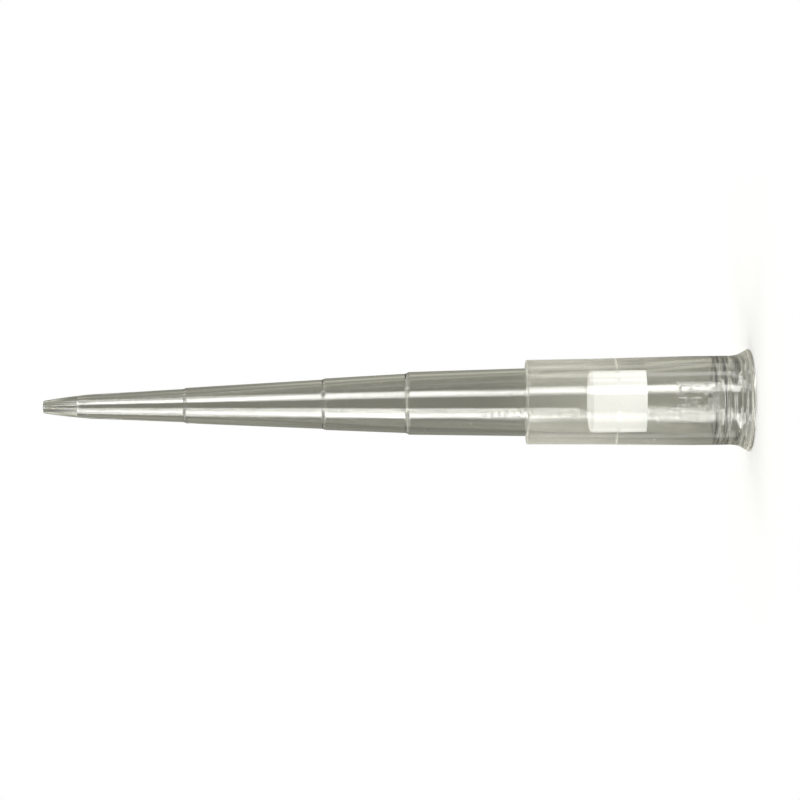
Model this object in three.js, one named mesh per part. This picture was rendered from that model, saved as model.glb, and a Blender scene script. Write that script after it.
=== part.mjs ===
// A filter pipette tip of the 200 microlitre size, in millimetres, +Z up. It stands on its mouth rim:
// the origin is the centre of the rim, and +Z runs along the axis to the fine point.
//
// tip_body is one moulding: a flared rim, a thick collar, and a long cone in four stages that ends in a
// fine point. filter is the porous plug that is pressed into the collar from the mouth.
// Both are solids of revolution, so each is one closed profile turned about Z.
import * as THREE from "three";

// ---- Lengths along the axis, in order from the rim to the point ----
const RIM_FLARE_LENGTH = 1.0; // rim face to where the flare's cone meets the collar
const COLLAR_STRAIGHT = 3.3; // widest part of the collar, above the flare
const COLLAR_TAPER = 7.0; // the part that narrows, level with the filter
const COLLAR_HEAD = 4.85; // the last part, up to the square shoulder
const STAGE_1_LENGTH = 8.75; // shoulder to the first step of the cone
const STAGE_2_LENGTH = 6.0;
const STAGE_3_LENGTH = 9.96;
const STAGE_4_LENGTH = 6.34; // the last stage, up to the fine point
const POINT_LENGTH = 3.8;

// ---- Outside diameters ----
const RIM_OD = 7.38;
const COLLAR_OD = 6.43; // the straight part
const COLLAR_HEAD_OD = 6.19; // where the taper ends
const SHOULDER_OD = 6.1;
const STAGE_1_BASE_OD = 4.9; // each stage: its wide end, nearer the mouth, then its narrow end
const STAGE_1_END_OD = 4.53;
const STAGE_2_BASE_OD = 4.28;
const STAGE_2_END_OD = 3.73;
const STAGE_3_BASE_OD = 3.55;
const STAGE_3_END_OD = 2.57;
const STAGE_4_BASE_OD = 2.4;
const STAGE_4_END_OD = 1.79;
const ORIFICE_OD = 0.9;

// ---- Walls, bores and the filter ----
const CONE_WALL = 0.36; // at the wide end of each stage
const POINT_WALL = 0.33; // where the last stage meets the point
const CAPILLARY_LENGTH = 2.46; // the narrow, thick-walled channel inside the point
const ORIFICE_DIAMETER = 0.5;
const CAPILLARY_DIAMETER = 0.6; // its inner end, where the bore opens out
const CAPILLARY_STEP = 0.02; // height of the almost flat ring that opens it out
const FILTER_DEPTH = 7.6; // rim face to the filter
const FILTER_LENGTH = 4.07;
const SEAT_DIAMETER = 4.54;
const FILTER_CLEARANCE = 0.03; // radial; the real plug is a light press fit
const FILTER_CHAMFER = 0.25; // leading edge of the plug
const SEAT_STEP_FROM_TOP = 1.95; // the seat's ring, measured from the filter's upper end
const SEAT_STEP_HEIGHT = 0.25;
const SEAT_STEP_DEPTH = 0.04; // radial
const MOUTH_DIAMETER = 5.2; // inside the upper bead, where the pipette's cone seals
const BEAD_DEPTH = 2.55; // rim face to the crest of the upper bead
const BEAD_PITCH = 0.67; // from the upper bead's crest to the lower one's
const BEAD_LENGTH = 0.56; // along the axis
const BEAD_HEIGHT = 0.07; // radial
const BEAD_WIDENING = 0.03; // radial, from the upper bead to the lower one
const LEAD_IN_LENGTH = 1.0; // the flared inside of the rim
const LEAD_IN_DIAMETER = 5.44; // its narrow end
const LEAD_IN_LAND = 0.2; // length of each of the two almost straight rings in it
const LEAD_IN_DRAFT = 0.05; // radial, over one such ring
const RIM_FACE_WIDTH = 0.17; // flat face of the rim

// ---- Edges ----
const FLARE_ANGLE = THREE.MathUtils.degToRad(31); // outside of the rim, from the axis
const FLARE_FILLET = 1.8; // where the flare runs into the collar
const RIM_EDGE_RADIUS = 0.12; // outer edge of the rim's face
const SHOULDER_EDGE_RADIUS = 0.1;
const STEP_1_CHAMFER_HEIGHT = 0.35; // the short cone at each step of the outside
const STEP_2_CHAMFER_HEIGHT = 0.3;
const STEP_3_CHAMFER_HEIGHT = 0.2;
const ORIFICE_EDGE_RADIUS = 0.06;
const POINT_CROWN = 0.06; // how far the point's side bulges past a straight cone

// ---- Faces around the axis, and along each round edge ----
const SIDES = 60;
const EDGE_STEPS = 4;
const FILLET_STEPS = 6;
const BEAD_STEPS = 8;
const CROWN_STEPS = 8;

// ---- Heights worked out from the lengths ----
const taperBase = RIM_FLARE_LENGTH + COLLAR_STRAIGHT;
const taperTop = taperBase + COLLAR_TAPER;
const shoulder = taperTop + COLLAR_HEAD;
const step1 = shoulder + STAGE_1_LENGTH;
const step2 = step1 + STAGE_2_LENGTH;
const step3 = step2 + STAGE_3_LENGTH;
const pointBase = step3 + STAGE_4_LENGTH;
const orifice = pointBase + POINT_LENGTH;
const filterTop = FILTER_DEPTH + FILTER_LENGTH;

// A profile point at a radius and a height.
function at(radius, height) {
  return new THREE.Vector2(radius, height);
}

// Points of an arc about a centre, from one angle to another, both in degrees from +radius.
function arc(centre, radius, fromDegrees, toDegrees, steps) {
  return Array.from({ length: steps + 1 }, (_, i) => {
    const angle = THREE.MathUtils.degToRad(fromDegrees + ((toDegrees - fromDegrees) * i) / steps);
    return at(centre.x + radius * Math.cos(angle), centre.y + radius * Math.sin(angle));
  });
}

// Points from one end to the other along an arc that bulges outwards by the crown at its middle.
function crowned(from, to, crown, steps) {
  const chord = to.clone().sub(from);
  const outward = at(chord.y, -chord.x).normalize();
  return Array.from({ length: steps + 1 }, (_, i) => {
    const t = i / steps;
    const bulge = 4 * crown * t * (1 - t);
    return from.clone().addScaledVector(chord, t).addScaledVector(outward, bulge);
  });
}

// The outside of the rim: its rounded lip, the straight flare, and the hollow fillet into the collar.
function rimOutside() {
  const flareDegrees = THREE.MathUtils.radToDeg(FLARE_ANGLE);
  const lipCentre = at(RIM_OD / 2 - RIM_EDGE_RADIUS, RIM_EDGE_RADIUS);
  const lip = arc(lipCentre, RIM_EDGE_RADIUS, -90, flareDegrees, EDGE_STEPS);
  const lipEnd = lip[lip.length - 1];
  // the flare's line, carried on from the lip, meets the collar at the corner's height
  const corner = lipEnd.y + (lipEnd.x - COLLAR_OD / 2) / Math.tan(FLARE_ANGLE);
  const filletTop = corner + FLARE_FILLET * Math.tan(FLARE_ANGLE / 2);
  const filletCentre = at(COLLAR_OD / 2 + FLARE_FILLET, filletTop);
  return [...lip, ...arc(filletCentre, FLARE_FILLET, 180 + flareDegrees, 180, FILLET_STEPS)];
}

// The outside of the collar up to its square shoulder, whose edge is slightly round.
function collarOutside() {
  const edgeCentre = at(SHOULDER_OD / 2 - SHOULDER_EDGE_RADIUS, shoulder - SHOULDER_EDGE_RADIUS);
  return [
    at(COLLAR_OD / 2, taperBase),
    at(COLLAR_HEAD_OD / 2, taperTop),
    ...arc(edgeCentre, SHOULDER_EDGE_RADIUS, 0, 90, EDGE_STEPS),
  ];
}

// The stages of the cone. Each ends in a short chamfer down to the next, narrower one.
function coneOutside() {
  return [
    at(STAGE_1_BASE_OD / 2, shoulder),
    at(STAGE_1_END_OD / 2, step1 - STEP_1_CHAMFER_HEIGHT),
    at(STAGE_2_BASE_OD / 2, step1),
    at(STAGE_2_END_OD / 2, step2 - STEP_2_CHAMFER_HEIGHT),
    at(STAGE_3_BASE_OD / 2, step2),
    at(STAGE_3_END_OD / 2, step3 - STEP_3_CHAMFER_HEIGHT),
    at(STAGE_4_BASE_OD / 2, step3),
  ];
}

// The fine point: a slightly crowned cone, closed by the flat ring round the orifice.
function pointOutside() {
  const sideEnd = at(ORIFICE_OD / 2, orifice - ORIFICE_EDGE_RADIUS);
  const edgeCentre = at(ORIFICE_OD / 2 - ORIFICE_EDGE_RADIUS, sideEnd.y);
  const edge = arc(edgeCentre, ORIFICE_EDGE_RADIUS, 0, 90, EDGE_STEPS);
  return [...crowned(at(STAGE_4_END_OD / 2, pointBase), sideEnd, POINT_CROWN, CROWN_STEPS), ...edge.slice(1)];
}

// The bore from the orifice to the shoulder. It follows the outside at the wall's thickness.
function coneBore() {
  const capillaryEnd = orifice - CAPILLARY_LENGTH;
  const pointBore = STAGE_4_END_OD / 2 - POINT_WALL;
  const boreAtStep3 = STAGE_4_BASE_OD / 2 - CONE_WALL;
  const slope = (boreAtStep3 - pointBore) / (step3 - pointBase);
  const openEnd = capillaryEnd - CAPILLARY_STEP;
  return [
    at(ORIFICE_DIAMETER / 2, orifice),
    at(CAPILLARY_DIAMETER / 2, capillaryEnd),
    at(pointBore + slope * (openEnd - pointBase), openEnd),
    at(boreAtStep3, step3),
    at(STAGE_3_BASE_OD / 2 - CONE_WALL, step2),
    at(STAGE_2_BASE_OD / 2 - CONE_WALL, step1),
    at(STAGE_1_BASE_OD / 2 - CONE_WALL, shoulder),
  ];
}

// The bore of the collar: the filter's seat with its ring, then a taper to the mouth.
function collarBore() {
  const seat = SEAT_DIAMETER / 2;
  const ringTop = filterTop - SEAT_STEP_FROM_TOP;
  return [
    at(seat, filterTop),
    at(seat, ringTop),
    at(seat + SEAT_STEP_DEPTH, ringTop - SEAT_STEP_HEIGHT),
    at(seat + SEAT_STEP_DEPTH, FILTER_DEPTH),
  ];
}

// A soft bead inside the mouth, from its upper end down: one full wave, with its crest towards the axis.
function bead(crestRadius, crestHeight) {
  return Array.from({ length: BEAD_STEPS + 1 }, (_, i) => {
    const t = (2 * i) / BEAD_STEPS - 1;
    const outwards = (BEAD_HEIGHT * (1 - Math.cos(Math.PI * t))) / 2;
    return at(crestRadius + outwards, crestHeight - (BEAD_LENGTH / 2) * t);
  });
}

// The mouth: two sealing beads, and the lead-in, three short cones with the two rings between them.
function mouthBore() {
  const crest = MOUTH_DIAMETER / 2;
  const rimBore = RIM_OD / 2 - RIM_EDGE_RADIUS - RIM_FACE_WIDTH;
  const coneWidth = (rimBore - LEAD_IN_DIAMETER / 2 - 2 * LEAD_IN_DRAFT) / 3;
  const coneHeight = (LEAD_IN_LENGTH - 2 * LEAD_IN_LAND) / 3;
  const leadIn = [at(LEAD_IN_DIAMETER / 2, LEAD_IN_LENGTH)];
  const strides = [
    at(coneWidth, -coneHeight),
    at(LEAD_IN_DRAFT, -LEAD_IN_LAND),
    at(coneWidth, -coneHeight),
    at(LEAD_IN_DRAFT, -LEAD_IN_LAND),
  ];
  for (const stride of strides) {
    leadIn.push(leadIn[leadIn.length - 1].clone().add(stride));
  }
  return [
    ...bead(crest, BEAD_DEPTH),
    ...bead(crest + BEAD_WIDENING, BEAD_DEPTH - BEAD_PITCH),
    ...leadIn,
    at(rimBore, 0),
  ];
}

// Turns a closed profile that runs up the outside and down the inside about Z.
function turned(profile) {
  const geometry = new THREE.LatheGeometry(profile, SIDES);
  return geometry.rotateX(Math.PI / 2);
}

function tipBodyGeometry() {
  const profile = [
    ...rimOutside(),
    ...collarOutside(),
    ...coneOutside(),
    ...pointOutside(),
    ...coneBore(),
    ...collarBore(),
    ...mouthBore(),
  ];
  return turned([...profile, profile[0].clone()]);
}

// The plug: a plain cylinder with a chamfered leading edge, a clearance inside its seat.
function filterGeometry() {
  const radius = SEAT_DIAMETER / 2 - FILTER_CLEARANCE;
  return turned([
    at(0, FILTER_DEPTH),
    at(radius, FILTER_DEPTH),
    at(radius, filterTop - FILTER_CHAMFER),
    at(radius - FILTER_CHAMFER, filterTop),
    at(0, filterTop),
  ]);
}

const clearPlastic = new THREE.MeshStandardMaterial({
  color: 0xb9baab,
  roughness: 0.12,
  metalness: 0,
  transparent: true,
  opacity: 0.45,
});
const porousWhite = new THREE.MeshStandardMaterial({ color: 0xf7f7f3, roughness: 0.95, metalness: 0 });

const tipBody = new THREE.Mesh(tipBodyGeometry(), clearPlastic);
tipBody.name = "tip_body";

const filter = new THREE.Mesh(filterGeometry(), porousWhite);
filter.name = "filter";

const tip = new THREE.Group();
tip.name = "filter_pipette_tip";
tip.add(tipBody, filter);

export default tip;
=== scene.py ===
# %% [markdown]
# # A clear pipette tip with a filter, lit for its portrait
#
# The real thing is a filter tip for a hand pipette: one thin moulding of natural polypropylene, as
# clear as a drinking cup and a little grey, with a white porous plug pressed into its collar. It is
# about as long as a matchstick, so almost all that the eye gets from it is how light bends and
# mirrors in its walls.
#
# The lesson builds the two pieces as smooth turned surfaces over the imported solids, gives each a
# finish from procedural nodes, and then sets the small studio that makes clear plastic readable.

import math

import bpy
import numpy as np
from mathutils import Matrix, Vector


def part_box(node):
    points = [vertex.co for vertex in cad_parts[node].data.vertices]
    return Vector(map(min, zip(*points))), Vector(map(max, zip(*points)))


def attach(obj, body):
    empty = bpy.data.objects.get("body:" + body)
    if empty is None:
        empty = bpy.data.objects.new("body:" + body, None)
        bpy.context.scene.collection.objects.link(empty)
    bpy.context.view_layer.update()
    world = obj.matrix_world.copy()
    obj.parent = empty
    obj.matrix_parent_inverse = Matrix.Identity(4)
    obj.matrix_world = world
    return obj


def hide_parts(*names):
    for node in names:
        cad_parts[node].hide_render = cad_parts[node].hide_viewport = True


MM = 0.001
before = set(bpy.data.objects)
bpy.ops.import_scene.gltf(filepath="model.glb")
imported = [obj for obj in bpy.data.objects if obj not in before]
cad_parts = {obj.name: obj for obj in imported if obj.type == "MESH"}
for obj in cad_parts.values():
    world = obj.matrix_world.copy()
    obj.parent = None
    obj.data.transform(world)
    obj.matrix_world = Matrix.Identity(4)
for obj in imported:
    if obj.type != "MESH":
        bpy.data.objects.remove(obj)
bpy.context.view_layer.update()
tip_low, tip_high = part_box("tip_body")
plug_low, plug_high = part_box("filter")
print("tip height", round((tip_high - tip_low).z / MM, 2), "mm")
print("plug from", round(plug_low.z / MM, 2), "to", round(plug_high.z / MM, 2), "mm above the rim")

# %% [markdown]
# ## The measures of the moulding
#
# A turned piece needs only radii and heights. They could be read off the solid's facets, but then
# the small round edges would stay as coarse as the facets are. So the driving measures are written
# out again here, in millimetres from the rim upwards. The bore, the mouth and the plug add their
# own further down.

# %% Heights and radii of the outside, in millimetres
RIM_RADIUS, RIM_EDGE = 3.69, 0.12
FLARE_ANGLE, FLARE_ROUND = 31.0, 1.8
COLLAR_RADIUS, COLLAR_HEAD_RADIUS = 3.215, 3.095
TAPER_BASE, TAPER_TOP = 4.3, 11.3
SHOULDER, SHOULDER_RADIUS, SHOULDER_EDGE = 16.15, 3.05, 0.1
CONE_BASE_RADIUS = 2.45
STEP_HEIGHTS = np.array([24.9, 30.9, 40.86])
STEP_LENGTHS = np.array([0.35, 0.3, 0.2])
BELOW_STEP = np.array([2.265, 1.865, 1.285])
ABOVE_STEP = np.array([2.14, 1.775, 1.2])
POINT_BASE, POINT_RADIUS, POINT_CROWN = 47.2, 0.895, 0.06
ORIFICE, ORIFICE_RADIUS, ORIFICE_EDGE = 51.0, 0.45, 0.06
print("across the rim", 2 * RIM_RADIUS, "mm, across the collar", 2 * COLLAR_RADIUS, "mm")

# %% [markdown]
# ## The outside
#
# The real outside has a lip, a flare, a thick collar, a cone in four stages and a fine point, all
# from one mould. Cylinders and cones could be stacked for it, but every joint would show as a
# crease in the reflections. So it starts as one outline from the rim to the orifice, and is turned
# later. Straight stretches need only their ends. Round edges are arcs, sampled finely enough that a
# reflection running over them stays smooth.


# %% Helpers for outlines
def arc(centre, radius, start, end, steps=12):
    """Points centre + radius * (cos a, sin a), with a running evenly from start to end, in degrees."""
    angle = np.radians(np.linspace(start, end, steps + 1))
    return np.array(centre) + radius * np.stack([np.cos(angle), np.sin(angle)], axis=1)


def crowned(start, end, crown, steps=24):
    """A chord from start to end, pushed outwards by 4 * crown * t * (1 - t) at each share t of it."""
    share = np.linspace(0, 1, steps + 1)[:, None]
    chord = np.array(end) - np.array(start)
    outward = np.array([chord[1], -chord[0]]) / np.linalg.norm(chord)
    return np.array(start) + share * chord + 4 * crown * share * (1 - share) * outward


def eased(start, end, steps=10):
    """A step with both ends along the axis: height runs evenly, and radius as 3 t^2 - 2 t^3."""
    share = np.linspace(0, 1, steps + 1)
    radius = start[0] + (end[0] - start[0]) * (3 * share**2 - 2 * share**3)
    return np.stack([radius, np.linspace(start[1], end[1], steps + 1)], axis=1)


def flare_round(tube, corner, radius, degrees):
    """The arc from a tube down to the flare below it. Without the arc, the two meet at the corner."""
    top = corner + radius * math.tan(math.radians(degrees) / 2)
    return arc((tube + radius, top), radius, 180, 180 + degrees)


# %% The outside, from the rim's face to the orifice
def outside():
    """Lip, flare, collar, shoulder, four cone stages and crowned point, as (radius, height) rows."""
    lip = arc((RIM_RADIUS - RIM_EDGE, RIM_EDGE), RIM_EDGE, -90, FLARE_ANGLE)
    corner = lip[-1, 1] + (lip[-1, 0] - COLLAR_RADIUS) / math.tan(math.radians(FLARE_ANGLE))
    flare = flare_round(COLLAR_RADIUS, corner, FLARE_ROUND, FLARE_ANGLE)[::-1]
    collar = [(COLLAR_RADIUS, TAPER_BASE), (COLLAR_HEAD_RADIUS, TAPER_TOP)]
    shoulder_centre = (SHOULDER_RADIUS - SHOULDER_EDGE, SHOULDER - SHOULDER_EDGE)
    shoulder = [*arc(shoulder_centre, SHOULDER_EDGE, 0, 90), (CONE_BASE_RADIUS, SHOULDER)]
    below = zip(BELOW_STEP, STEP_HEIGHTS - STEP_LENGTHS)
    above = zip(ABOVE_STEP, STEP_HEIGHTS)
    steps = [eased(low, high) for low, high in zip(below, above)]
    point_end = (ORIFICE_RADIUS, ORIFICE - ORIFICE_EDGE)
    point = crowned((POINT_RADIUS, POINT_BASE), point_end, POINT_CROWN)
    edge_centre = (ORIFICE_RADIUS - ORIFICE_EDGE, ORIFICE - ORIFICE_EDGE)
    edge = arc(edge_centre, ORIFICE_EDGE, 0, 90, steps=6)[1:]
    return np.concatenate([lip, flare, collar, shoulder, *steps, point, edge])


outer = outside()
print("the outside has", len(outer), "points, up to", outer[-1, 1], "mm")

# %% [markdown]
# ## The bore
#
# The real bore is left by a steel core. A Solidify modifier could thin the outside to a shell, but
# only the cone's wall is even. The channel in the point is narrower than that, and the collar is
# thick round the plug's seat. So the bore is an outline of its own, and takes the wall's thickness
# off the outside where that is even.

# %% The bore, from the orifice back to the plug's lower end
CONE_WALL, POINT_WALL = 0.36, 0.33
CHANNEL_LENGTH, CHANNEL_RADIUS, CHANNEL_MOUTH, CHANNEL_STEP = 2.46, 0.3, 0.25, 0.02
SEAT_RADIUS, SEAT_RING_FROM_TOP, SEAT_RING_HEIGHT, SEAT_RING_DEPTH = 2.27, 1.95, 0.25, 0.04
PLUG_BASE, PLUG_TOP = plug_low.z / MM, plug_high.z / MM


def bore():
    """The point's channel, the cone's inside and the plug's seat, as (radius, height) rows."""
    channel_end = ORIFICE - CHANNEL_LENGTH
    open_end = channel_end - CHANNEL_STEP
    point_bore = POINT_RADIUS - POINT_WALL
    slope = (ABOVE_STEP[-1] - CONE_WALL - point_bore) / (STEP_HEIGHTS[-1] - POINT_BASE)
    channel = [
        (CHANNEL_MOUTH, ORIFICE),
        (CHANNEL_RADIUS, channel_end),
        (point_bore + slope * (open_end - POINT_BASE), open_end),
    ]
    cone = np.stack([ABOVE_STEP - CONE_WALL, STEP_HEIGHTS], axis=1)[::-1]
    ring_top = PLUG_TOP - SEAT_RING_FROM_TOP
    seat = [
        (CONE_BASE_RADIUS - CONE_WALL, SHOULDER),
        (SEAT_RADIUS, PLUG_TOP),
        (SEAT_RADIUS, ring_top),
        (SEAT_RADIUS + SEAT_RING_DEPTH, ring_top - SEAT_RING_HEIGHT),
        (SEAT_RADIUS + SEAT_RING_DEPTH, PLUG_BASE),
    ]
    return np.concatenate([channel, cone, seat])


inner = bore()
print("the bore has", len(inner), "points, down to", round(inner[-1, 1], 2), "mm")

# %% [markdown]
# ## The mouth
#
# On the real tip two soft beads inside the mouth seal on the pipette's nose, and a lead-in guides
# it there. A bump could draw them, but the bright and dark lines in the lip come from light that
# they bend. So they are true shapes: a cosine for each bead, and short cones with almost straight
# lands between them for the lead-in.

# %% The mouth, from the upper bead down to the rim's face
MOUTH_RADIUS, RIM_FACE = 2.6, 0.17
BEADS, BEAD_DEPTH, BEAD_PITCH = 2, 2.55, 0.67
BEAD_LENGTH, BEAD_HEIGHT, BEAD_WIDENING = 0.56, 0.07, 0.03
LEAD_IN, LEAD_IN_RADIUS, LEAD_CONES = 1.0, 2.72, 3
LAND, LAND_DRAFT = 0.2, 0.05


def bead(crest, height, steps=24):
    """A hump into the bore: its radius is crest + BEAD_HEIGHT * (1 - cos(pi t)) / 2, t from -1 to 1."""
    share = np.linspace(-1, 1, steps + 1)
    radius = crest + BEAD_HEIGHT * (1 - np.cos(np.pi * share)) / 2
    return np.stack([radius, height - BEAD_LENGTH / 2 * share], axis=1)


def mouth():
    """The beads, each wider than the last, and the lead-in, whose cones share what its lands leave."""
    crests = [MOUTH_RADIUS + number * BEAD_WIDENING for number in range(BEADS)]
    heights = [BEAD_DEPTH - number * BEAD_PITCH for number in range(BEADS)]
    beads = [bead(crest, height) for crest, height in zip(crests, heights)]
    rim_bore = RIM_RADIUS - RIM_EDGE - RIM_FACE
    lands = LEAD_CONES - 1
    widening = (rim_bore - LEAD_IN_RADIUS - lands * LAND_DRAFT) / LEAD_CONES
    cone = (widening, (lands * LAND - LEAD_IN) / LEAD_CONES)
    land = (LAND_DRAFT, -LAND)
    strides = np.array([(LEAD_IN_RADIUS, LEAD_IN), *[cone, land] * lands, cone])
    return np.concatenate([*beads, np.cumsum(strides, axis=0)])


lower = mouth()
print("the mouth has", len(lower), "points, and widens to", round(2 * lower[-1, 0], 2), "mm")

# %% [markdown]
# ## From outline to surface
#
# The real tip is round throughout. Blender's Screw or Spin would also turn an outline, but a grid
# worked out with numpy gives the faces in known order and facing outwards. The grid closes on
# itself round the axis, and a hollow piece's outline closes too. Smooth shading would spread the
# blunt corners over whole straight stretches, so each of these first gets a point just inside both
# its ends. Sharper corners stay sharp by their angle.

# %% Brace the corners
BRACE, BRACED_FROM = 0.04, 0.32


def braced(outline):
    """Adds points at BRACE from both ends of each stretch that is longer than BRACED_FROM."""
    ahead = np.roll(outline, -1, axis=0) - outline
    length = np.linalg.norm(ahead, axis=1)[:, None]
    share = BRACE / length
    points = np.stack([outline, outline + share * ahead, outline + (1 - share) * ahead], axis=1)
    keep = np.ones((len(outline), 3), bool)
    keep[:, 1:] = length > BRACED_FROM
    return points.reshape(-1, 2)[keep.reshape(-1)]


tip_outline = braced(np.concatenate([outer, inner, lower]))
print("the whole outline has", len(tip_outline), "points")

# %% Turn an outline about Z
SIDES, SHARP_ANGLE = 256, 25


def turned(name, outline, hollow):
    """Carries an outline round the Z axis: point (i, j) is (r_i cos a_j, r_i sin a_j, z_i).

    The angles a_j run evenly round the circle. A hollow piece's rows close, a solid one gets caps.
    """
    angle = np.linspace(0, 2 * np.pi, SIDES, endpoint=False)
    radius, height = outline.T[:, :, None] * MM
    points = np.stack([radius * np.cos(angle), radius * np.sin(angle), height + 0 * angle], axis=2)
    ring = np.arange(len(outline) * SIDES).reshape(-1, SIDES)
    rows = np.concatenate([ring, ring[:1]]) if hollow else ring
    low, high = rows[:-1], rows[1:]
    quads = np.stack([low, np.roll(low, -1, 1), np.roll(high, -1, 1), high], axis=2)
    caps = [] if hollow else [ring[0][::-1].tolist(), ring[-1].tolist()]
    mesh = bpy.data.meshes.new(name)
    mesh.from_pydata(points.reshape(-1, 3), [], quads.reshape(-1, 4).tolist() + caps)
    mesh.shade_smooth()
    mesh.set_sharp_from_angle(angle=math.radians(SHARP_ANGLE))
    piece = bpy.data.objects.new(name, mesh)
    bpy.context.scene.collection.objects.link(piece)
    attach(piece, "root")
    print(name, "has", len(mesh.polygons), "faces and", len(outline), "outline points")
    return piece


tip = turned("clear_tip", tip_outline, hollow=True)
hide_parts("tip_body")

# %% [markdown]
# ## The porous plug
#
# The real plug is a short straight rod that is pressed in from the mouth, with a chamfer on the end
# that goes in first. A cylinder with one bevelled edge would do, but the turned grid is already
# there and keeps its rows in step with the tip's. Its radius and ends come from the frame.

# %% Turn the plug
PLUG_RADIUS, PLUG_CHAMFER = plug_high.x / MM, 0.25
plug_outline = [
    (PLUG_RADIUS, PLUG_BASE),
    (PLUG_RADIUS, PLUG_TOP - PLUG_CHAMFER),
    (PLUG_RADIUS - PLUG_CHAMFER, PLUG_TOP),
]
plug = turned("porous_plug", np.array(plug_outline), hollow=False)
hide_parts("filter")

# %% [markdown]
# ## Writing shaders as sums
#
# A node tree is easier to read as arithmetic. The first class below wraps a node's output, so that
# `a * b + 0.5` adds the Math nodes for it. The second wraps a tree, and one method of it makes
# every kind of node.


# %% A socket that can be added and multiplied
class Term:
    """An output socket in a node tree. Sums, differences and products of terms become Math nodes."""

    def __init__(self, tree, socket):
        self.tree = tree
        self.socket = socket

    def __add__(self, other):
        return self.tree.maths("ADD", self, other)

    def __sub__(self, other):
        return self.tree.maths("SUBTRACT", self, other)

    def __rsub__(self, other):
        return self.tree.maths("SUBTRACT", other, self)

    def __mul__(self, other):
        return self.tree.maths("MULTIPLY", self, other)

    def __abs__(self):
        return self.tree.maths("ABSOLUTE", self)

    __radd__ = __add__
    __rmul__ = __mul__


# %% A tree to write into
class Tree:
    """A material's or world's node tree, emptied and ready to be written into."""

    def __init__(self, owner):
        owner.use_nodes = True
        self.nodes = owner.node_tree.nodes
        self.links = owner.node_tree.links
        self.nodes.clear()

    def node(self, kind, settings=None, inputs=None, output=0):
        """Adds a node: its settings, then its sockets' values or links. Returns one output as a Term."""
        made = self.nodes.new(kind)
        for name, value in (settings or {}).items():
            setattr(made, name, value)
        for name, value in (inputs or {}).items():
            if isinstance(value, Term):
                self.links.new(value.socket, made.inputs[name])
            else:
                made.inputs[name].default_value = value
        return Term(self, made.outputs[output]) if made.outputs else None

    def maths(self, operation, first, second=0.0):
        """One Math node. An operation on a single value leaves the second alone."""
        return self.node("ShaderNodeMath", {"operation": operation}, {0: first, 1: second})

    def ramp(self, value, start, end, low=0.0, high=1.0):
        """A smooth rise from low to high while value goes from start to end."""
        settings = {"interpolation_type": "SMOOTHSTEP"}
        limits = {"From Min": start, "From Max": end, "To Min": low, "To Max": high}
        return self.node("ShaderNodeMapRange", settings, {"Value": value} | limits)

    def band(self, value, centre, half, soft):
        """One within half of the centre, and a smooth fall to nothing over the soft width."""
        return self.ramp(abs(value - centre), half, soft + half, 1.0, 0.0)

    def noise(self, where, scale, detail):
        """Cloudy noise from 0 to 1, with about as many lumps to the metre as the scale says."""
        inputs = {"Vector": where, "Scale": scale, "Detail": detail}
        return self.node("ShaderNodeTexNoise", {}, inputs)

    def bump(self, height, strength, distance, **under):
        """A bump whose full height is the distance in metres. Normal= gives a bump under it."""
        inputs = {"Height": height, "Strength": strength, "Distance": distance}
        return self.node("ShaderNodeBump", {}, inputs | under)

    def blend(self, factor, first, second):
        """A colour mix, from the first at a factor of 0 to the second at 1."""
        inputs = {0: factor, 6: first, 7: second}
        return self.node("ShaderNodeMix", {"data_type": "RGBA"}, inputs, output=2)

    def split(self, vector):
        """A vector's X, Y and Z."""
        kind = "ShaderNodeSeparateXYZ"
        return [self.node(kind, {}, {0: vector}, output=axis) for axis in "XYZ"]

    def place(self):
        """The Object coordinates, and their X, Y and Z in millimetres."""
        where = self.node("ShaderNodeTexCoord", output="Object")
        return where, [part * (1 / MM) for part in self.split(where)]


# %% [markdown]
# ## Clear polypropylene
#
# The real body is moulded from natural polypropylene in a polished steel mould. Its thin cone is as
# clear as glass. In the thick collar the plastic's own crystals scatter some light, so it turns
# faintly milky, and the more so the longer the way through the wall, which is near the outline. The
# wall keeps fine lines along its length from the mould's polish. Handling adds dull patches, small
# dents near the mouth, and specks of dust.
#
# A scattering volume would be closest to the real thing, but at this size it is slow, noisy and too
# dark. So a glass shader is mixed with a dull white one, and the share of white follows the wall's
# thickness and slant. Layer Weight gives the slant, as it does for the sheen of a cloth. The share
# that grows with the slant is partly this haze and partly painted glow, for light that runs along
# inside the wall near the outline. The same white also paints pale highlight lines round the tip.
#
# Two kinds of numbers place the marks, all in millimetres. A band is a centre, a half width and a
# soft edge. A fade is where it starts and ends, and the shares before and after.

# %% Painted highlight lines round the tip: steps, lip, shoulder and the witness line's glint
NEAR_SIDE, FRONT_HALF = (-1.6, -1.2, 1.0, 0.0), (-0.4, 0.2, 1.0, 0.0)
SHOULDER_GLOW_LINE, SHOULDER_GLOW_SIDES = (SHOULDER, 0.03, 0.05), (1.4, 2.6, 0.0, 0.6)
WITNESS_LINE, WITNESS_GLINT_SIDES = (9.72, 0.03, 0.06), (2.0, 2.3)
LIP_PAINTED_LINES, LIP_LINE_WIDTH = [(0.87, 0.5), (0.3, 0.7)], (0.02, 0.05)
STEP_PAINTED_HIGHLIGHT, STEP_LINE_WIDTH = (0.8, 0.15, 0.1), (0.03, 0.06)


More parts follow.
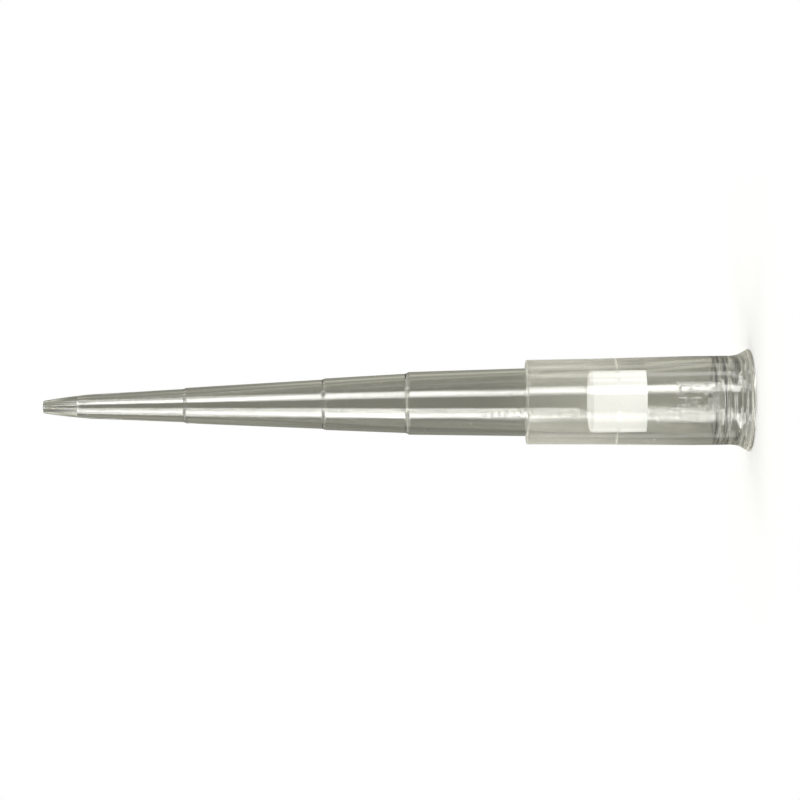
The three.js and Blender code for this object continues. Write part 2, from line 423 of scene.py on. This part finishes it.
def painted_highlight_lines(tree, x, y, z):
    """The sum of thin bands over the height: shoulder, witness line, lip and steps.

    All the bands are painted light, pale where the edges catch or bend light. The witness line is a real
    ring, but like the shoulder's line it is painted only towards the outline, where it catches the
    light.
    """
    # painted highlight: the witness line is pale only at the sides of the front half, where it catches
    # the light
    witness_glint_place = tree.ramp(abs(x), *WITNESS_GLINT_SIDES) * tree.ramp(y, *FRONT_HALF)
    # painted glow: the shoulder's edge is pale towards the outline, where light leaves the thick wall
    lines = tree.band(z, *SHOULDER_GLOW_LINE) * tree.ramp(abs(x), *SHOULDER_GLOW_SIDES)
    lines = lines + tree.band(z, *WITNESS_LINE) * witness_glint_place
    # painted light: two pale rings in the lip stand in for the bright lines that the lip bends light
    # into
    for height, strength in LIP_PAINTED_LINES:
        lines = lines + strength * tree.band(z, height, *LIP_LINE_WIDTH)
    # painted highlight: a pale ring on each step's rounded edge, where the edge catches the light
    for height, strength in zip(STEP_HEIGHTS - 0.5 * STEP_LENGTHS, STEP_PAINTED_HIGHLIGHT):
        lines = lines + strength * tree.band(z, height, *STEP_LINE_WIDTH)
    return lines


# %% Dents, scuffs and dust
DENT_HEIGHTS, DENT_PLACES = (3.9, 1.5, 0.3), [(0.85, 0.3, 0.2), (-0.25, 0.35, 0.2)]
DENT_SCALE, DENT_CUT = 2600.0, (0.5, 0.7)
SCUFFS = [
    ((5.2, 2.2, 0.8), (-0.85, 0.35, 0.5)),
    ((13.8, 2.0, 0.6), (-0.75, 0.05, 0.3)),
    ((15.6, 0.3, 0.3), (1.95, 0.15, 0.3)),
    ((17.6, 1.3, 0.6), (-0.8, 0.08, 0.12)),
    ((16.9, 0.5, 0.4), (0.55, 0.05, 0.12)),
]
SCUFF_SCALE, SCUFF_CUT = 3600.0, (0.46, 0.66)
DUST_SCALE, DUST_SPECK, DUST_LOT = 620.0, (0.035, 0.07, 1.0, 0.0), (0.5, 0.6)


def dents(tree, where, x, z):
    """Small round lumps in two short strips near the mouth, as a height from 0 to 1."""
    lumps = tree.noise(where, DENT_SCALE, detail=1.0)
    places = sum(tree.band(x, *place) for place in DENT_PLACES)
    return tree.ramp(lumps, *DENT_CUT) * places * tree.band(z, *DENT_HEIGHTS)


def scuffs(tree, where, x, z):
    """Dull rubbed patches, each a band over the height times one across, broken up by a fine noise."""
    frost = tree.noise(where, SCUFF_SCALE, detail=5.0)
    rubbed = sum(tree.band(z, *heights) * tree.band(x, *across) for heights, across in SCUFFS)
    return rubbed * tree.ramp(frost, *SCUFF_CUT)


def dust(tree, where):
    """A dot in the middle of about half of the cells of a Voronoi pattern."""
    cells = {"Vector": where, "Scale": DUST_SCALE}
    nearest = tree.node("ShaderNodeTexVoronoi", {}, cells, output="Distance")
    lot = tree.node("ShaderNodeTexVoronoi", {}, cells, output="Color")
    return tree.ramp(nearest, *DUST_SPECK) * tree.ramp(lot, *DUST_LOT)


print(len(SCUFFS), "scuffs and", len(DENT_PLACES), "strips of dents on the near side")

# %% The clear plastic's relief, with heights in metres
COLLAR_ONLY = (16.1, 16.3, 1.0, 0.0)
GRAIN_HEIGHT, GRAIN_SCALE, GRAIN_STRENGTH = 0.000002, 2500.0, 0.15
DRAWN_STRETCH, DRAWN_SCALE, DRAWN_STRENGTH = (1.0, 1.0, 0.02), 2600.0, 0.3
DENT_HEIGHT, SCUFF_DEPTH = 0.00003, 0.2


def relief(tree, where, x, y, z):
    """Three bumps on each other: an even grain, the near side's marks, and lines along the collar."""
    grain = tree.noise(where, GRAIN_SCALE, detail=3.0)
    along = tree.node("ShaderNodeMapping", {}, {"Vector": where, "Scale": DRAWN_STRETCH})
    drawn = tree.noise(along, DRAWN_SCALE, detail=4.0) * tree.ramp(z, *COLLAR_ONLY)
    struck = dents(tree, where, x, z) + SCUFF_DEPTH * scuffs(tree, where, x, z)
    struck = struck * tree.ramp(y, *NEAR_SIDE)
    bump = tree.bump(grain, GRAIN_STRENGTH, GRAIN_HEIGHT)
    bump = tree.bump(struck, 1.0, DENT_HEIGHT, Normal=bump)
    return tree.bump(drawn, DRAWN_STRENGTH, GRAIN_HEIGHT, Normal=bump)


# %% How milky the clear plastic is, with painted highlights and glow added to the white
WALL_THICKENS, LIP_EDGE = (2.0, 15.0, 0.15, 1.0), (0.3, 1.3, 1.0, 0.0)
CONE_HAZE, COLLAR_HAZE, COLLAR_CLOUD, COLLAR_SLANT, LIP_SLANT = 0.002, 0.02, 0.03, 0.27, 0.22
PAINTED_LINE_SHARE, WORN_SHARE, DUST_SHARE = 0.2, 0.2, 0.2


def milk_and_painted_light_share(tree, where, cloud, x, y, z):
    """The share of dull white: thickness and slant, the lip, pale lines, scuffs and dust, added up."""
    slant = tree.node("ShaderNodeLayerWeight", {}, {"Blend": 0.5}, output="Facing")
    thick = tree.ramp(z, *WALL_THICKENS) * tree.ramp(z, *COLLAR_ONLY)
    lip = tree.ramp(z, *LIP_EDGE)
    worn = scuffs(tree, where, x, z) * tree.ramp(y, *NEAR_SIDE)
    # partly real haze, partly painted glow: the slant share brightens the band near the outline
    haze_and_edge_glow = CONE_HAZE + thick * (COLLAR_HAZE + COLLAR_CLOUD * cloud + COLLAR_SLANT * slant)
    # painted light: the pale rings of the steps, lip and shoulder, and the witness line's glint
    lines = PAINTED_LINE_SHARE * painted_highlight_lines(tree, x, y, z)
    # partly painted glow: the lip turns pale towards its outline
    return haze_and_edge_glow + LIP_SLANT * slant * lip + lines + WORN_SHARE * worn + DUST_SHARE * dust(tree, where)


print("white share straight on: cone", CONE_HAZE, "and collar from", CONE_HAZE + COLLAR_HAZE)

# %% The clear plastic
POLYPROPYLENE_INDEX = 1.49
# the dull white is the plastic's milkiness and also carries the painted highlight lines
CLEAR, MILK_AND_PAINTED_LIGHT = (0.98, 0.98, 0.965, 1), (0.9, 0.89, 0.8, 1)
CLEAR_ROUGHNESS, CLOUD_ROUGHNESS, MILK_ROUGHNESS = 0.015, 0.015, 0.5
CLOUD_SCALE = 260.0


def clear_plastic():
    """Glass and dull white with one relief, mixed by the milkiness. A cloud makes the polish uneven."""
    material = bpy.data.materials.new("clear_polypropylene")
    tree = Tree(material)
    where, (x, y, z) = tree.place()
    cloud = tree.noise(where, CLOUD_SCALE, detail=3.0)
    common = {"IOR": POLYPROPYLENE_INDEX, "Normal": relief(tree, where, x, y, z)}
    roughness = CLEAR_ROUGHNESS + CLOUD_ROUGHNESS * cloud
    polished = {"Base Color": CLEAR, "Roughness": roughness, "Transmission Weight": 1.0}
    dull = {"Base Color": MILK_AND_PAINTED_LIGHT, "Roughness": MILK_ROUGHNESS}
    glass = tree.node("ShaderNodeBsdfPrincipled", {}, polished | common)
    milk_and_painted_light = tree.node("ShaderNodeBsdfPrincipled", {}, dull | common)
    # the share of white holds real milkiness, dust and wear, and painted highlights and glow
    share = milk_and_painted_light_share(tree, where, cloud, x, y, z)
    surface = tree.node("ShaderNodeMixShader", {}, {0: share, 1: glass, 2: milk_and_painted_light})
    tree.node("ShaderNodeOutputMaterial", {}, {"Surface": surface})
    print(material.name, "is made of", len(tree.nodes), "nodes")
    return material


tip.data.materials.append(clear_plastic())

# %% [markdown]
# ## Porous white
#
# The real plug is sintered from polyethylene powder: a matt white, with a grain of about a fifth of
# a millimetre. Modelled grains would be lost behind the collar's wall, so a bump of fine noise does
# it, under one dull white.

# %% The porous white
PLUG_WHITE, PLUG_ROUGHNESS = (0.96, 0.96, 0.95, 1), 0.9
PORE_SCALE, PORE_STRENGTH, PORE_DEPTH = 5000.0, 0.4, 0.00005


def porous_white():
    """One dull white, with a bump of fine noise."""
    material = bpy.data.materials.new("porous_polyethylene")
    tree = Tree(material)
    where, _ = tree.place()
    bump = tree.bump(tree.noise(where, PORE_SCALE, detail=4.0), PORE_STRENGTH, PORE_DEPTH)
    finish = {"Base Color": PLUG_WHITE, "Roughness": PLUG_ROUGHNESS, "Normal": bump}
    shader = tree.node("ShaderNodeBsdfPrincipled", {}, finish)
    tree.node("ShaderNodeOutputMaterial", {}, {"Surface": shader})
    print(material.name, "is made of", len(tree.nodes), "nodes")
    return material


plug.data.materials.append(porous_white())

# %% [markdown]
# ## The camera
#
# A thing this small is best portrayed with a long lens from close by. The camera looks square at
# the tip's side and is turned on its own axis, so that the tip lies across the picture with its
# mouth to the right. A Track To constraint could aim it, but three axes written out say which way
# is up. The lens follows from the width that the picture has to hold at that distance, and the aim
# is the tip's middle, but for a quarter of a millimetre each way.

# %% Set up the camera
CAMERA_DISTANCE, PICTURE_WIDTH, SENSOR = 0.18, 0.0578, 36.0
AXIS_TILT = math.radians(0.57)
AIM = (tip_low + tip_high) / 2 + Vector((0.00025, 0, -0.00025))
camera_data = bpy.data.cameras.new("camera")
camera_data.sensor_width = SENSOR
camera_data.lens = SENSOR * CAMERA_DISTANCE / PICTURE_WIDTH
camera = bpy.data.objects.new("camera", camera_data)
bpy.context.scene.collection.objects.link(camera)
right = Vector((-math.sin(AXIS_TILT), 0, -math.cos(AXIS_TILT)))
up = Vector((math.cos(AXIS_TILT), 0, -math.sin(AXIS_TILT)))
back = Vector((0, -1, 0))
turn = Matrix((right, up, back)).transposed().to_4x4()
camera.matrix_world = Matrix.Translation(AIM + CAMERA_DISTANCE * back) @ turn
bpy.context.scene.camera = camera
print("lens", round(camera_data.lens), "mm, at", round(CAMERA_DISTANCE / MM), "mm from the tip's axis")

# %% [markdown]
# ## The room
#
# Clear plastic has hardly any look of its own: it shows the room, mirrored and bent. Lamps could
# light it, but each would need a large pale board round it to be mirrored with soft edges. So the
# room is the world itself, written as a brightness for each way that a ray can leave, and soft
# edges come by nature.
#
# - Two tall soft windows in front, to the left and right of the camera, make the two bright lines
#   that run along every stage. They lean outwards at the top. A narrower one at the side adds a
#   thin line.
# - The wall behind is what the eye sees through the tip, bent outwards. It is a warm mid grey,
#   darker below and in one corner.
# - A pale dome, brighter at the back, and a glow from below in front light the white plug on all
#   sides.
# - Two flanks brighten the upper part of the room at both sides.
# - Two cards at the sides, just under eye level, draw the pale line along the collar's outline.
# - A paler strip of the wall, on one side, draws two fine lines along the collar's upper side.
#
# The camera itself sees a white screen all round. The tip is darker than the white round it, as
# thick plastic is when it bends dim parts of a room into view, so mirrored and bent rays get only a
# small share of the screen.


# %% A tree that knows directions
class Room(Tree):
    """The world's tree. A ray's way is an azimuth from the front and an elevation, in degrees."""

    def __init__(self, owner):
        super().__init__(owner)
        across, deep, high = self.split(self.node("ShaderNodeTexCoord", output="Generated"))
        self.azimuth = self.maths("ARCTAN2", across, 0 - deep) * math.degrees(1)
        self.elevation = self.maths("ARCSINE", high) * math.degrees(1)


world = bpy.data.worlds.new("studio")
bpy.context.scene.world = world
room = Room(world)
behind, rise = abs(room.azimuth), room.elevation
print("a direction takes", len(room.nodes), "nodes")

# %% The wall and the dome, with fades from start to end in degrees and levels before and after
SIDE_TO_BACK, STRAIGHT_BEHIND = (98, 135, 0.04, 0.485), (150, 176, 0.0, 0.14)
EYE_LEVEL, UPPER_WALL = (-3.5, -1, 0.88, 0.6), (8, 14, 0.0, 0.14)
WALL_BASE, WALL_FOOT = (-7, -5, 0.55, 1.0), (-22, -9, 0.2, 1.0)
CORNER, CORNER_TOP, CORNER_DIMMING = (-135, 14, 12), (4, 7, 1.0, 0.0), 0.35
DOME_EDGE, DOME_BACK, DOME_TOP = (28, 50, 0.0, 1.1), (80, 120, 1.0, 2.8), (58, 80, 1.0, 0.3)
round_wall = room.ramp(behind, *SIDE_TO_BACK) - room.ramp(behind, *STRAIGHT_BEHIND)
up_wall = room.ramp(rise, *EYE_LEVEL) - room.ramp(rise, *UPPER_WALL)
corner = CORNER_DIMMING * room.band(room.azimuth, *CORNER) * room.ramp(rise, *CORNER_TOP)
wall = round_wall * up_wall * room.ramp(rise, *WALL_BASE) * room.ramp(rise, *WALL_FOOT) * (1 - corner)
dome = room.ramp(rise, *DOME_EDGE) * room.ramp(behind, *DOME_BACK) * room.ramp(rise, *DOME_TOP)
print("wall and dome are written, with", len(room.nodes), "nodes so far")

# %% Patches of light: a bearing, a band of it, fades over the elevation, and the light's level
PATCHES = {
    "glow from below": (room.azimuth, (20, 25, 45), [(-35, -20, 1.0, 0.0)], 5.5),
    "flanks": (behind, (95, 30, 30), [(12, 20)], 0.8),
    "cards": (behind, (104, 5, 6), [(-12, -8), (-3, -1.5, 1.0, 0.0)], 1.4),
    "paler strip": (room.azimuth, (148, 5, 7), [(-3, -1), (4, 7, 1.0, 0.0)], 0.2),
}
WARM, PALE, WARM_TO_PALE = (1, 1, 0.82, 1), (1, 1, 0.96, 1), (0.5, 1.4)
level = wall + dome
for patch, (bearing, band, fades, strength) in PATCHES.items():
    light = room.band(bearing, *band)
    for fade in fades:
        light = light * room.ramp(rise, *fade)
    level = level + light * strength
    print(patch, "at", band[0], "degrees")
tint = room.blend(room.ramp(level, *WARM_TO_PALE), WARM, PALE)
walls = room.node("ShaderNodeBackground", {}, {"Color": tint, "Strength": level})

# %% The windows: azimuth, half width, soft edge, and radiance above and below the horizon
WINDOWS = [(33, 4, 9, 7.7, 9.2), (74, 2, 8, 0.3, 4.0), (-46, 4, 10, 12.0, 3.3)]
WINDOW_FOOT, WINDOW_HEAD, HORIZON = (-26, -14), (12, 26, 1.0, 0.0), (-3, -1.5)
LEANING, LEAN, WIDENING = (0, 14), 10, 12
DAYLIGHT = (1, 1, 0.98, 1)


def window(azimuth, half, soft, above, below):
    """A band round the azimuth that widens and leans outwards as it rises, times its radiance."""
    height = room.ramp(rise, *WINDOW_FOOT) * room.ramp(rise, *WINDOW_HEAD)
    radiance = room.ramp(rise, *HORIZON, below, above)
    wider = room.ramp(rise, *LEANING, half, half + WIDENING)
    lean = math.copysign(1, azimuth) * room.ramp(rise, *LEANING, 0, LEAN)
    return room.band(room.azimuth - lean, azimuth, wider, soft) * height * radiance


windows = sum(window(*measures) for measures in WINDOWS)
panes = room.node("ShaderNodeBackground", {}, {"Color": DAYLIGHT, "Strength": windows})
print(len(WINDOWS), "windows at", [measures[0] for measures in WINDOWS], "degrees")

# %% The screen that the camera sees
WHITE, SCREEN_IN_PLASTIC = (1, 1, 1, 1), 0.03
inside = room.node("ShaderNodeAddShader", {}, {0: walls, 1: panes})
kinds = ("Is Camera Ray", "Is Glossy Ray", "Is Transmission Ray")
seen, mirrored, through = [room.node("ShaderNodeLightPath", output=kind) for kind in kinds]
screen_share = seen + SCREEN_IN_PLASTIC * room.maths("MAXIMUM", mirrored, through)
screen = room.node("ShaderNodeBackground", {}, {"Color": WHITE, "Strength": 1.0})
sky = room.node("ShaderNodeMixShader", {}, {0: screen_share, 1: inside, 2: screen})
room.node("ShaderNodeOutputWorld", {}, {"Surface": sky})
print("the room is written in", len(room.nodes), "nodes")

# %% [markdown]
# ## The floor
#
# The tip stands on its mouth on a pale board. A plain white one would come out too bright in this
# room, so its grey is chosen to come out just about white, which keeps the tip's soft shadow.
# Farther out it turns into the screen's white, so that no edge shows. Mirrored and bent rays pass
# it by: the room alone makes the plastic's look.

# %% Paint the floor
FLOOR_GREY, WHITE_FROM_AXIS = (0.64, 0.64, 0.64, 1), (6, 20, 0.3, 1.0)


def pale_floor():
    """Grey paint that turns into the screen's white with distance from the axis, for the camera."""
    material = bpy.data.materials.new("pale_floor")
    tree = Tree(material)
    _, (x, y, _) = tree.place()
    away = tree.maths("SQRT", x * x + y * y)
    white_share = tree.node("ShaderNodeLightPath", output="Is Camera Ray")
    white_share = white_share * tree.ramp(away, *WHITE_FROM_AXIS)
    paint = tree.node("ShaderNodeBsdfDiffuse", {}, {"Color": FLOOR_GREY})
    white = tree.node("ShaderNodeEmission", {}, {"Color": WHITE, "Strength": 1.0})
    surface = tree.node("ShaderNodeMixShader", {}, {0: white_share, 1: paint, 2: white})
    tree.node("ShaderNodeOutputMaterial", {}, {"Surface": surface})
    print(material.name, "is made of", len(tree.nodes), "nodes")
    return material


# %% Lay the floor
FLOOR_HALF, FLOOR_DROP = 1.0, 0.00002
signs = [(-1, -1), (1, -1), (1, 1), (-1, 1)]
corners = [(FLOOR_HALF * across, FLOOR_HALF * deep, -FLOOR_DROP) for across, deep in signs]
floor_mesh = bpy.data.meshes.new("floor")
floor_mesh.from_pydata(corners, [], [(0, 1, 2, 3)])
floor_mesh.materials.append(pale_floor())
floor = bpy.data.objects.new("floor", floor_mesh)
bpy.context.scene.collection.objects.link(floor)
floor.visible_glossy = False
floor.visible_transmission = False
print("floor", 2 * FLOOR_HALF, "m across, just under the rim's face")

# %% [markdown]
# ## Finish
#
# Colours go to the screen as they are, without a film look.

# %% Colours as they are
bpy.context.scene.view_settings.view_transform = "Standard"
